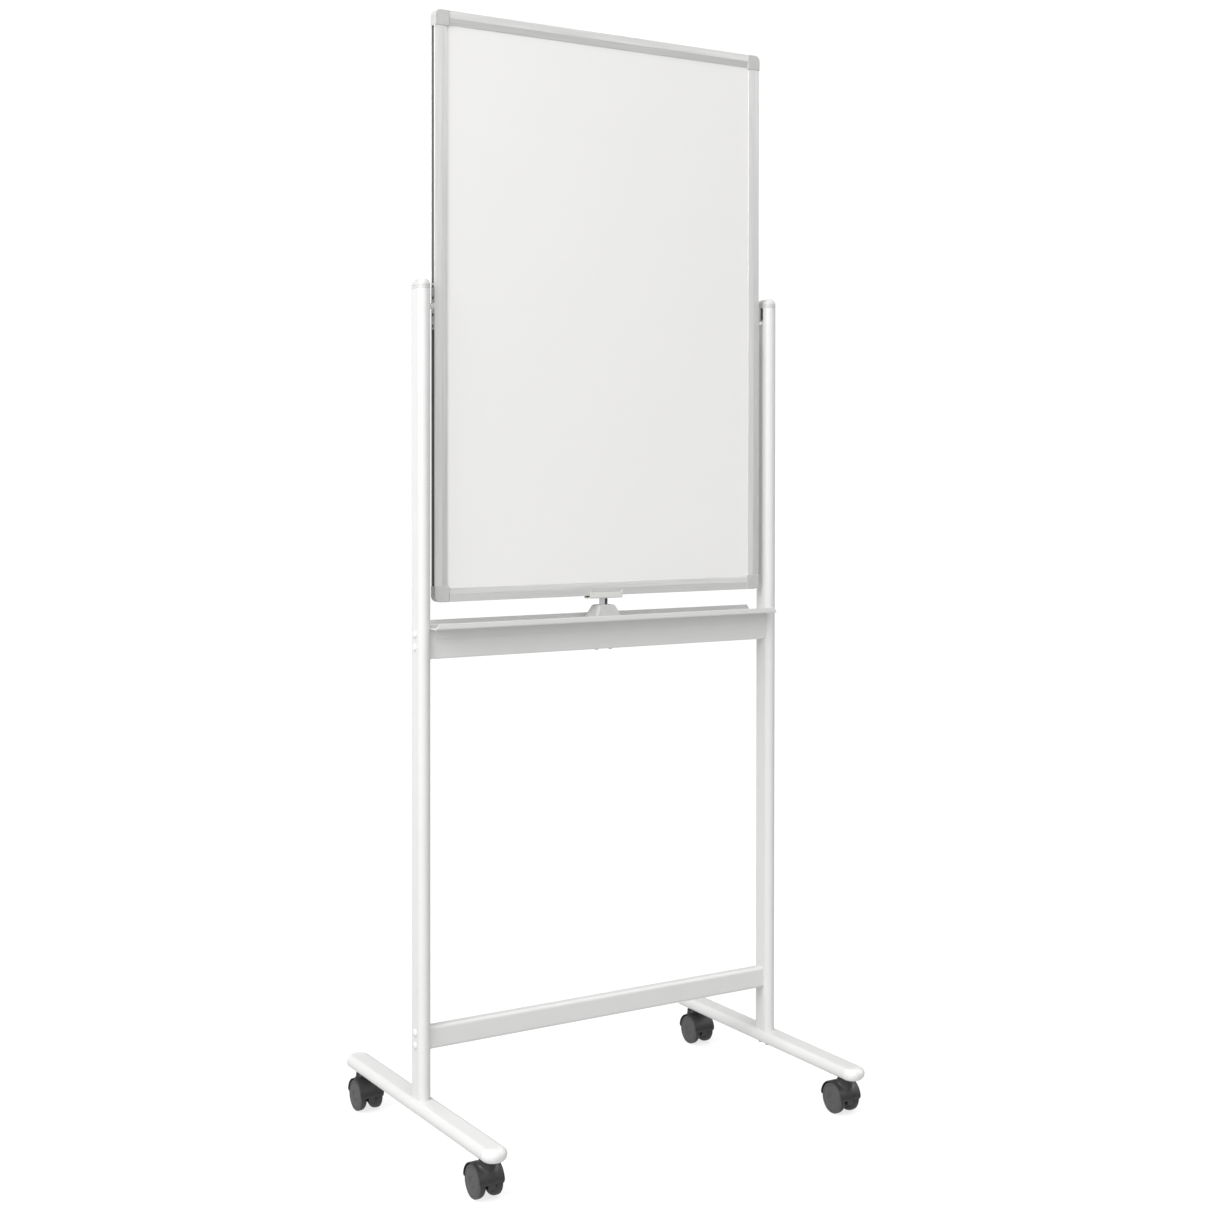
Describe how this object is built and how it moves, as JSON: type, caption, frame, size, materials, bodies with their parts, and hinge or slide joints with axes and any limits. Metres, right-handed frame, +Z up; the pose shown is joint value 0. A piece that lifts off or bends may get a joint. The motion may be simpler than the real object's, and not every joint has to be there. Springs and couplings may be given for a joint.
{
  "type": "rolling whiteboard",
  "caption": "Double-sided dry-erase board in an aluminium frame that flips between two uprights on an H-shaped stand with a pen tray, board lock and swivel casters.",
  "frame": {"origin": "on the floor under the middle of the stand", "axes": "+X to the right seen from the front, +Y to the back, +Z up; the front writing face looks along -Y"},
  "size_m": [0.691, 0.53, 1.759],
  "materials": {
    "honeycomb_core": "matt paper honeycomb",
    "enamelled_steel": "gloss enamel, dry-erase",
    "frame_aluminium": "satin anodised",
    "grey_plastic": "satin moulded",
    "zinc_steel": "zinc plated",
    "white_powder_coat": "satin powder coat",
    "white_plastic": "satin moulded",
    "nylon": "natural nylon",
    "catch_paint": "satin paint",
    "chrome_stem": "polished",
    "spring_steel": "spring wire",
    "black_plastic": "satin moulded",
    "wheel_plastic": "satin moulded"
  },
  "bodies": {
    "stand": {"left_upright_tube": "white_powder_coat", "right_upright_tube": "white_powder_coat", "left_upright_cap": "white_plastic", "right_upright_cap": "white_plastic", "left_pivot_bush": "nylon", "right_pivot_bush": "nylon", "left_foot_tube": "white_powder_coat", "right_foot_tube": "white_powder_coat", "front_left_foot_cap": "white_plastic", "front_right_foot_cap": "white_plastic", "back_left_foot_cap": "white_plastic", "back_right_foot_cap": "white_plastic", "upright_base_inserts": "nylon", "foot_bolts": "zinc_steel", "lower_crossbar": "white_powder_coat", "tray_crossbar": "white_powder_coat", "crossbar_end_plugs": "nylon", "crossbar_screws": "zinc_steel", "screw_covers": "white_plastic", "pen_tray": "white_powder_coat", "tray_and_lock_screws": "zinc_steel", "lock_boss": "white_plastic", "caster_nuts": "zinc_steel", "caster_stems": "zinc_steel"},
    "board": {"board_core": "honeycomb_core", "front_writing_sheet": "enamelled_steel", "back_writing_sheet": "enamelled_steel", "top_frame_rail": "frame_aluminium", "bottom_frame_rail": "frame_aluminium", "left_frame_rail": "frame_aluminium", "right_frame_rail": "frame_aluminium", "top_left_corner_cap": "grey_plastic", "top_right_corner_cap": "grey_plastic", "bottom_left_corner_cap": "grey_plastic", "bottom_right_corner_cap": "grey_plastic", "corner_brackets": "zinc_steel", "left_pivot_plate": "zinc_steel", "right_pivot_plate": "zinc_steel", "pivot_plate_screws": "zinc_steel", "left_pivot_pin": "zinc_steel", "right_pivot_pin": "zinc_steel"},
    "lock": {"lock_catch": "catch_paint", "lock_stem": "chrome_stem", "lock_spring": "spring_steel"},
    "front_left_swivel": {"front_left_caster_hood": "black_plastic", "front_left_caster_axle": "zinc_steel"},
    "front_left_outer_wheel": {"front_left_outer_wheel": "wheel_plastic"},
    "front_left_inner_wheel": {"front_left_inner_wheel": "wheel_plastic"},
    "front_right_swivel": {"front_right_caster_hood": "black_plastic", "front_right_caster_axle": "zinc_steel"},
    "front_right_outer_wheel": {"front_right_outer_wheel": "wheel_plastic"},
    "front_right_inner_wheel": {"front_right_inner_wheel": "wheel_plastic"},
    "back_left_swivel": {"back_left_caster_hood": "black_plastic", "back_left_caster_axle": "zinc_steel"},
    "back_left_outer_wheel": {"back_left_outer_wheel": "wheel_plastic"},
    "back_left_inner_wheel": {"back_left_inner_wheel": "wheel_plastic"},
    "back_right_swivel": {"back_right_caster_hood": "black_plastic", "back_right_caster_axle": "zinc_steel"},
    "back_right_outer_wheel": {"back_right_outer_wheel": "wheel_plastic"},
    "back_right_inner_wheel": {"back_right_inner_wheel": "wheel_plastic"}
  },
  "joints": [
    {"name": "board_flip", "type": "hinge", "parent": "stand", "child": "board", "pos_m": [0, 0, 1.302], "axis": [1, 0, 0], "continuous": true},
    {"name": "lock_press", "type": "slide", "parent": "stand", "child": "lock", "axis": [0, 0, 1], "range_m": [-0.01, 0], "stiffness_N_per_m": 600, "springref_m": 0.008, "deforming": ["lock_spring"]},
    {"name": "front_left_swivel", "type": "hinge", "parent": "stand", "child": "front_left_swivel", "pos_m": [-0.325, -0.225, 0.06], "axis": [0, 0, 1], "continuous": true},
    {"name": "front_left_outer_wheel_spin", "type": "hinge", "parent": "front_left_swivel", "child": "front_left_outer_wheel", "pos_m": [-0.325, -0.215, 0.025], "axis": [1, 0, 0], "continuous": true},
    {"name": "front_left_inner_wheel_spin", "type": "hinge", "parent": "front_left_swivel", "child": "front_left_inner_wheel", "pos_m": [-0.325, -0.215, 0.025], "axis": [1, 0, 0], "continuous": true},
    {"name": "front_right_swivel", "type": "hinge", "parent": "stand", "child": "front_right_swivel", "pos_m": [0.325, -0.225, 0.06], "axis": [0, 0, 1], "continuous": true},
    {"name": "front_right_outer_wheel_spin", "type": "hinge", "parent": "front_right_swivel", "child": "front_right_outer_wheel", "pos_m": [0.325, -0.215, 0.025], "axis": [1, 0, 0], "continuous": true},
    {"name": "front_right_inner_wheel_spin", "type": "hinge", "parent": "front_right_swivel", "child": "front_right_inner_wheel", "pos_m": [0.325, -0.215, 0.025], "axis": [1, 0, 0], "continuous": true},
    {"name": "back_left_swivel", "type": "hinge", "parent": "stand", "child": "back_left_swivel", "pos_m": [-0.325, 0.225, 0.06], "axis": [0, 0, 1], "continuous": true},
    {"name": "back_left_outer_wheel_spin", "type": "hinge", "parent": "back_left_swivel", "child": "back_left_outer_wheel", "pos_m": [-0.325, 0.215, 0.025], "axis": [1, 0, 0], "continuous": true},
    {"name": "back_left_inner_wheel_spin", "type": "hinge", "parent": "back_left_swivel", "child": "back_left_inner_wheel", "pos_m": [-0.325, 0.215, 0.025], "axis": [1, 0, 0], "continuous": true},
    {"name": "back_right_swivel", "type": "hinge", "parent": "stand", "child": "back_right_swivel", "pos_m": [0.325, 0.225, 0.06], "axis": [0, 0, 1], "continuous": true},
    {"name": "back_right_outer_wheel_spin", "type": "hinge", "parent": "back_right_swivel", "child": "back_right_outer_wheel", "pos_m": [0.325, 0.215, 0.025], "axis": [1, 0, 0], "continuous": true},
    {"name": "back_right_inner_wheel_spin", "type": "hinge", "parent": "back_right_swivel", "child": "back_right_inner_wheel", "pos_m": [0.325, 0.215, 0.025], "axis": [1, 0, 0], "continuous": true}
  ]
}
